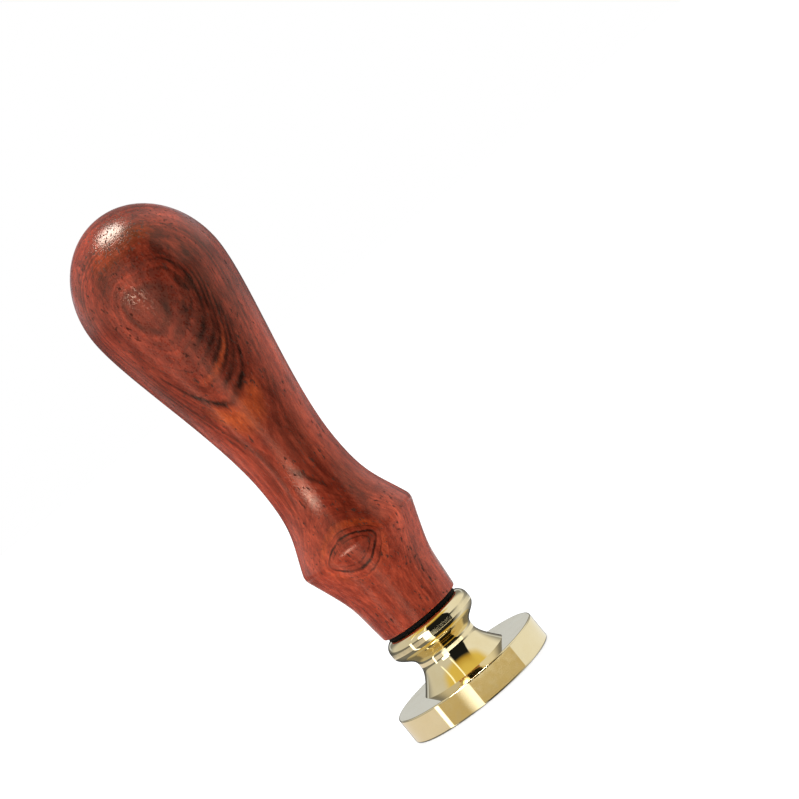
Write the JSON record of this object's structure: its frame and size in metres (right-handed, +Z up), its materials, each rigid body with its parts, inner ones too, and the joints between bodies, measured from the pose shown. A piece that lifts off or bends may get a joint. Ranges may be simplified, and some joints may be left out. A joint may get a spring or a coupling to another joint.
{
  "type": "wax seal stamp",
  "caption": "Turned rosewood handle screwed on a polished brass neck and engraved disc, pressed into hot wax to leave a raised seal.",
  "frame": {"origin": "centre of the seal face, the flat engraved face that presses the wax", "axes": "+Z up the stamp's axis from the seal face to the knob; the outside is round about Z, so X and Y are free"},
  "size_m": [0.025, 0.025, 0.0896],
  "materials": {
    "rosewood": "satin lacquer",
    "polished_brass": "mirror polished",
    "insert_brass": "as machined",
    "steel": "zinc plated",
    "black_rubber": "matte"
  },
  "bodies": {
    "head": {"seal_disc": "polished_brass", "neck": "polished_brass", "stud": "steel"},
    "washer": {"washer": "black_rubber"},
    "handle": {"handle": "rosewood", "threaded_insert": "insert_brass"}
  },
  "joints": [
    {"name": "handle_turn", "type": "hinge", "parent": "head", "child": "washer", "pos_m": [0, 0, 0.014], "axis": [0, 0, 1], "range_deg": [0, 2880]},
    {"name": "handle_lift", "type": "slide", "parent": "washer", "child": "handle", "axis": [0, 0, 1], "range_m": [0, 0.008]}
  ],
  "couplings": [
    {"joint": "handle_lift", "follows": "handle_turn", "m_per_rad": 0.00015915}
  ]
}
